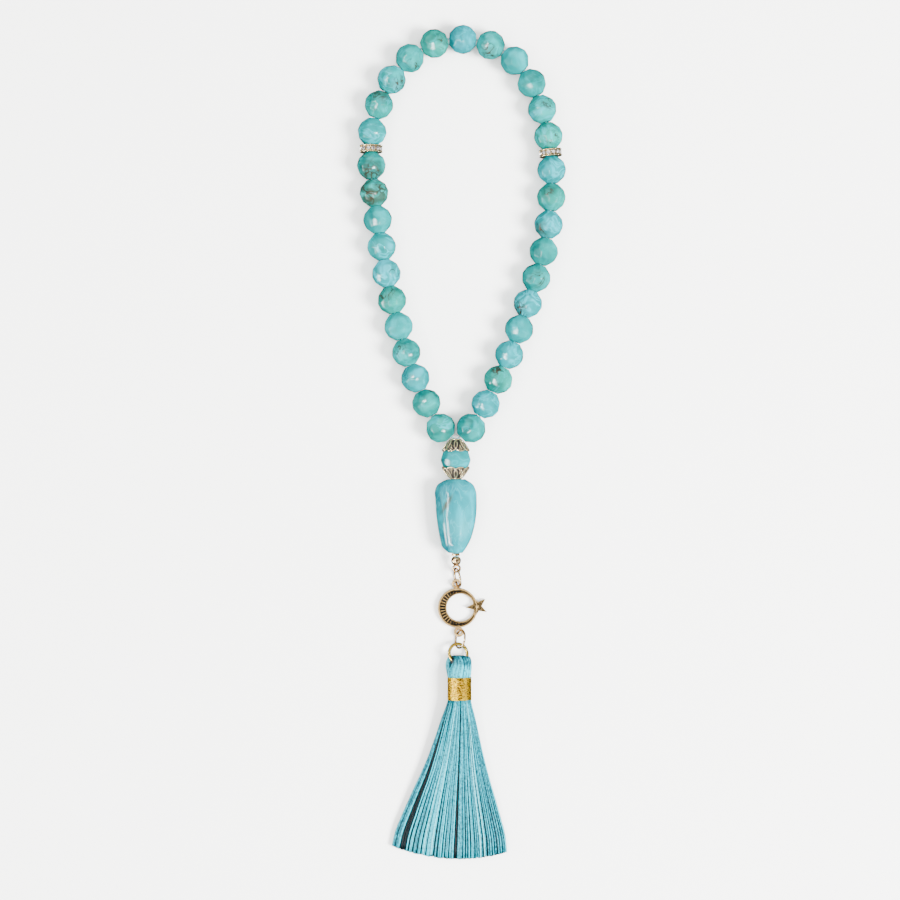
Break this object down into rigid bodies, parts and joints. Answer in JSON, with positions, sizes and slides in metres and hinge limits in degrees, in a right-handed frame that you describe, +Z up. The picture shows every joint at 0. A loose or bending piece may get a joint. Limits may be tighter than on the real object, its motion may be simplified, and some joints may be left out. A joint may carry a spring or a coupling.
{
  "type": "misbaha prayer beads",
  "caption": "Looped string of faceted marbled turquoise beads with crystal rondelles, a capped joining bead, a large imam bead, and a crescent and star pendant with a silk tassel.",
  "frame": {"origin": "bottom centre of the box around the whole object as it lies flat on a table, z = 0 at the table", "axes": "+Z up from the table, +Y from the tassel to the top of the bead loop, +X to the right seen from above"},
  "size_m": [0.0728, 0.2918, 0.0104],
  "materials": {
    "bead_resin": "polished marbled turquoise resin, faceted, with white and brown veins",
    "imam_resin": "polished marbled turquoise resin with long twisted facets",
    "string_cord": "twisted beading cord",
    "rondelle": "pale gold plated rims set with clear faceted stones",
    "filigree": "pale gold plated openwork with dark recesses",
    "pale_gold": "polished pale gold plating",
    "antique_gold": "antiqued gold plating, dark in the recesses",
    "yellow_gold": "polished yellow gold plating",
    "gold_thread": "wound metallic thread",
    "tassel_silk": "glossy silk-like thread"
  },
  "bodies": {
    "string": {"string": "string_cord", "end_knot": "string_cord", "knot_cover": "pale_gold", "crimp_ring": "pale_gold"},
    "upper_jump_ring": {"upper_jump_ring": "pale_gold"},
    "crescent_star": {"crescent_star": "antique_gold"},
    "lower_jump_ring": {"lower_jump_ring": "pale_gold"},
    "tassel_ring": {"tassel_ring": "yellow_gold"},
    "tassel": {"tassel_threads": "tassel_silk", "tassel_band": "gold_thread"},
    "bead_01": {"bead_01": "bead_resin"},
    "bead_02": {"bead_02": "bead_resin"},
    "bead_03": {"bead_03": "bead_resin"},
    "bead_04": {"bead_04": "bead_resin"},
    "bead_05": {"bead_05": "bead_resin"},
    "bead_06": {"bead_06": "bead_resin"},
    "bead_07": {"bead_07": "bead_resin"},
    "bead_08": {"bead_08": "bead_resin"},
    "bead_09": {"bead_09": "bead_resin"},
    "bead_10": {"bead_10": "bead_resin"},
    "bead_11": {"bead_11": "bead_resin"},
    "bead_12": {"bead_12": "bead_resin"},
    "bead_13": {"bead_13": "bead_resin"},
    "bead_14": {"bead_14": "bead_resin"},
    "bead_15": {"bead_15": "bead_resin"},
    "bead_16": {"bead_16": "bead_resin"},
    "bead_17": {"bead_17": "bead_resin"},
    "bead_18": {"bead_18": "bead_resin"},
    "bead_19": {"bead_19": "bead_resin"},
    "bead_20": {"bead_20": "bead_resin"},
    "bead_21": {"bead_21": "bead_resin"},
    "bead_22": {"bead_22": "bead_resin"},
    "bead_23": {"bead_23": "bead_resin"},
    "bead_24": {"bead_24": "bead_resin"},
    "bead_25": {"bead_25": "bead_resin"},
    "bead_26": {"bead_26": "bead_resin"},
    "bead_27": {"bead_27": "bead_resin"},
    "bead_28": {"bead_28": "bead_resin"},
    "bead_29": {"bead_29": "bead_resin"},
    "bead_30": {"bead_30": "bead_resin"},
    "bead_31": {"bead_31": "bead_resin"},
    "bead_32": {"bead_32": "bead_resin"},
    "bead_33": {"bead_33": "bead_resin"},
    "rondelle_left": {"rondelle_left": "rondelle"},
    "rondelle_right": {"rondelle_right": "rondelle"},
    "cap_upper": {"cap_upper": "filigree"},
    "joining_bead": {"joining_bead": "bead_resin"},
    "cap_lower": {"cap_lower": "filigree"},
    "imam_bead": {"imam_bead": "imam_resin"}
  },
  "joints": [
    {"name": "upper_jump_ring_sway", "type": "hinge", "parent": "string", "child": "upper_jump_ring", "pos_m": [-0.00171, -0.04372, 0.00403], "axis": [0.0109, -0.2076, 0.9781], "range_deg": [-45, 45]},
    {"name": "crescent_swing", "type": "hinge", "parent": "upper_jump_ring", "child": "crescent_star", "pos_m": [-0.0014, -0.04694, 0.00339], "axis": [0.9508, 0.1453, -0.2737], "range_deg": [-40, 40]},
    {"name": "lower_jump_ring_sway", "type": "hinge", "parent": "crescent_star", "child": "lower_jump_ring", "pos_m": [-0.0009, -0.06615, 0.0011], "axis": [0, 0.2079, 0.9781], "range_deg": [-45, 45]},
    {"name": "tassel_ring_swing", "type": "hinge", "parent": "lower_jump_ring", "child": "tassel_ring", "pos_m": [-0.00043, -0.06851, 0.00293], "axis": [0.8538, -0.1943, -0.483], "range_deg": [-40, 40]},
    {"name": "tassel_sway", "type": "hinge", "parent": "tassel_ring", "child": "tassel", "pos_m": [-0.0011, -0.0736, 0.003], "axis": [0.4118, 0.225, 0.8831], "range_deg": [-25, 25]},
    {"name": "bead_01_spin", "type": "hinge", "parent": "string", "child": "bead_01", "pos_m": [-0.00729, 0.00539, 0.005], "axis": [-0.7037, 0.7104, 0], "continuous": true},
    {"name": "bead_02_spin", "type": "hinge", "parent": "string", "child": "bead_02", "pos_m": [-0.01221, 0.01401, 0.005], "axis": [-0.4432, 0.8964, 0], "continuous": true},
    {"name": "bead_03_spin", "type": "hinge", "parent": "string", "child": "bead_03", "pos_m": [-0.01607, 0.02276, 0.005], "axis": [-0.3688, 0.9295, 0], "continuous": true},
    {"name": "bead_04_spin", "type": "hinge", "parent": "string", "child": "bead_04", "pos_m": [-0.01927, 0.03175, 0.005], "axis": [-0.3075, 0.9516, 0], "continuous": true},
    {"name": "bead_05_spin", "type": "hinge", "parent": "string", "child": "bead_05", "pos_m": [-0.02198, 0.04086, 0.005], "axis": [-0.2622, 0.965, 0], "continuous": true},
    {"name": "bead_06_spin", "type": "hinge", "parent": "string", "child": "bead_06", "pos_m": [-0.02427, 0.05007, 0.005], "axis": [-0.2218, 0.9751, 0], "continuous": true},
    {"name": "bead_07_spin", "type": "hinge", "parent": "string", "child": "bead_07", "pos_m": [-0.02621, 0.05936, 0.005], "axis": [-0.1895, 0.9819, 0], "continuous": true},
    {"name": "bead_08_spin", "type": "hinge", "parent": "string", "child": "bead_08", "pos_m": [-0.02787, 0.06868, 0.005], "axis": [-0.1602, 0.9871, 0], "continuous": true},
    {"name": "bead_09_spin", "type": "hinge", "parent": "string", "child": "bead_09", "pos_m": [-0.02926, 0.07805, 0.005], "axis": [-0.1344, 0.9909, 0], "continuous": true},
    {"name": "bead_10_spin", "type": "hinge", "parent": "string", "child": "bead_10", "pos_m": [-0.03052, 0.08738, 0.005], "axis": [-0.1346, 0.9909, 0], "continuous": true},
    {"name": "bead_11_spin", "type": "hinge", "parent": "string", "child": "bead_11", "pos_m": [-0.03147, 0.09692, 0.005], "axis": [-0.0398, 0.9992, 0], "continuous": true},
    {"name": "bead_12_spin", "type": "hinge", "parent": "string", "child": "bead_12", "pos_m": [-0.0312, 0.1087, 0.005], "axis": [0.127, 0.9919, 0], "continuous": true},
    {"name": "bead_13_spin", "type": "hinge", "parent": "string", "child": "bead_13", "pos_m": [-0.02882, 0.1182, 0.005], "axis": [0.3459, 0.9383, 0], "continuous": true},
    {"name": "bead_14_spin", "type": "hinge", "parent": "string", "child": "bead_14", "pos_m": [-0.02442, 0.12697, 0.005], "axis": [0.5507, 0.8347, 0], "continuous": true},
    {"name": "bead_15_spin", "type": "hinge", "parent": "string", "child": "bead_15", "pos_m": [-0.01802, 0.13446, 0.005], "axis": [0.7537, 0.6572, 0], "continuous": true},
    {"name": "bead_16_spin", "type": "hinge", "parent": "string", "child": "bead_16", "pos_m": [-0.00947, 0.1396, 0.005], "axis": [0.9393, 0.343, 0], "continuous": true},
    {"name": "bead_17_spin", "type": "hinge", "parent": "string", "child": "bead_17", "pos_m": [0.00042, 0.14104, 0.005], "axis": [0.9995, -0.0304, 0], "continuous": true},
    {"name": "bead_18_spin", "type": "hinge", "parent": "string", "child": "bead_18", "pos_m": [0.01017, 0.13902, 0.005], "axis": [0.9278, -0.3731, 0], "continuous": true},
    {"name": "bead_19_spin", "type": "hinge", "parent": "string", "child": "bead_19", "pos_m": [0.01856, 0.13362, 0.005], "axis": [0.7326, -0.6806, 0], "continuous": true},
    {"name": "bead_20_spin", "type": "hinge", "parent": "string", "child": "bead_20", "pos_m": [0.0245, 0.12568, 0.005], "axis": [0.4864, -0.8737, 0], "continuous": true},
    {"name": "bead_21_spin", "type": "hinge", "parent": "string", "child": "bead_21", "pos_m": [0.02816, 0.11663, 0.005], "axis": [0.3014, -0.9535, 0], "continuous": true},
    {"name": "bead_22_spin", "type": "hinge", "parent": "string", "child": "bead_22", "pos_m": [0.03032, 0.10718, 0.005], "axis": [0.1545, -0.988, 0], "continuous": true},
    {"name": "bead_23_spin", "type": "hinge", "parent": "string", "child": "bead_23", "pos_m": [0.03144, 0.09549, 0.005], "axis": [0.0315, -0.9995, 0], "continuous": true},
    {"name": "bead_24_spin", "type": "hinge", "parent": "string", "child": "bead_24", "pos_m": [0.03132, 0.08592, 0.005], "axis": [-0.0528, -0.9986, 0], "continuous": true},
    {"name": "bead_25_spin", "type": "hinge", "parent": "string", "child": "bead_25", "pos_m": [0.0304, 0.07639, 0.005], "axis": [-0.1373, -0.9905, 0], "continuous": true},
    {"name": "bead_26_spin", "type": "hinge", "parent": "string", "child": "bead_26", "pos_m": [0.02868, 0.06696, 0.005], "axis": [-0.2282, -0.9736, 0], "continuous": true},
    {"name": "bead_27_spin", "type": "hinge", "parent": "string", "child": "bead_27", "pos_m": [0.02608, 0.05776, 0.005], "axis": [-0.3044, -0.9526, 0], "continuous": true},
    {"name": "bead_28_spin", "type": "hinge", "parent": "string", "child": "bead_28", "pos_m": [0.02314, 0.0488, 0.005], "axis": [-0.3108, -0.9505, 0], "continuous": true},
    {"name": "bead_29_spin", "type": "hinge", "parent": "string", "child": "bead_29", "pos_m": [0.02011, 0.03983, 0.005], "axis": [-0.3346, -0.9424, 0], "continuous": true},
    {"name": "bead_30_spin", "type": "hinge", "parent": "string", "child": "bead_30", "pos_m": [0.01669, 0.03095, 0.005], "axis": [-0.3855, -0.9227, 0], "continuous": true},
    {"name": "bead_31_spin", "type": "hinge", "parent": "string", "child": "bead_31", "pos_m": [0.01283, 0.02226, 0.005], "axis": [-0.4282, -0.9037, 0], "continuous": true},
    {"name": "bead_32_spin", "type": "hinge", "parent": "string", "child": "bead_32", "pos_m": [0.00848, 0.01378, 0.005], "axis": [-0.4825, -0.8759, 0], "continuous": true},
    {"name": "bead_33_spin", "type": "hinge", "parent": "string", "child": "bead_33", "pos_m": [0.00333, 0.00534, 0.005], "axis": [-0.715, -0.6991, 0], "continuous": true},
    {"name": "rondelle_left_spin", "type": "hinge", "parent": "string", "child": "rondelle_left", "pos_m": [-0.03155, 0.10278, 0.005], "axis": [0.0084, 1, 0], "continuous": true},
    {"name": "rondelle_right_spin", "type": "hinge", "parent": "string", "child": "rondelle_right", "pos_m": [0.03107, 0.10136, 0.005], "axis": [0.1005, -0.9949, 0], "continuous": true},
    {"name": "cap_upper_spin", "type": "hinge", "parent": "string", "child": "cap_upper", "pos_m": [-0.002, 0.0017, 0.0052], "axis": [0, 1, 0], "continuous": true},
    {"name": "joining_bead_spin", "type": "hinge", "parent": "string", "child": "joining_bead", "pos_m": [-0.002, -0.00545, 0.0052], "axis": [0, 1, 0], "continuous": true},
    {"name": "cap_lower_spin", "type": "hinge", "parent": "string", "child": "cap_lower", "pos_m": [-0.002, -0.0126, 0.0052], "axis": [0, -1, 0], "continuous": true},
    {"name": "imam_bead_spin", "type": "hinge", "parent": "string", "child": "imam_bead", "pos_m": [-0.002, -0.0129, 0.0052], "axis": [0, 1, 0], "continuous": true}
  ]
}
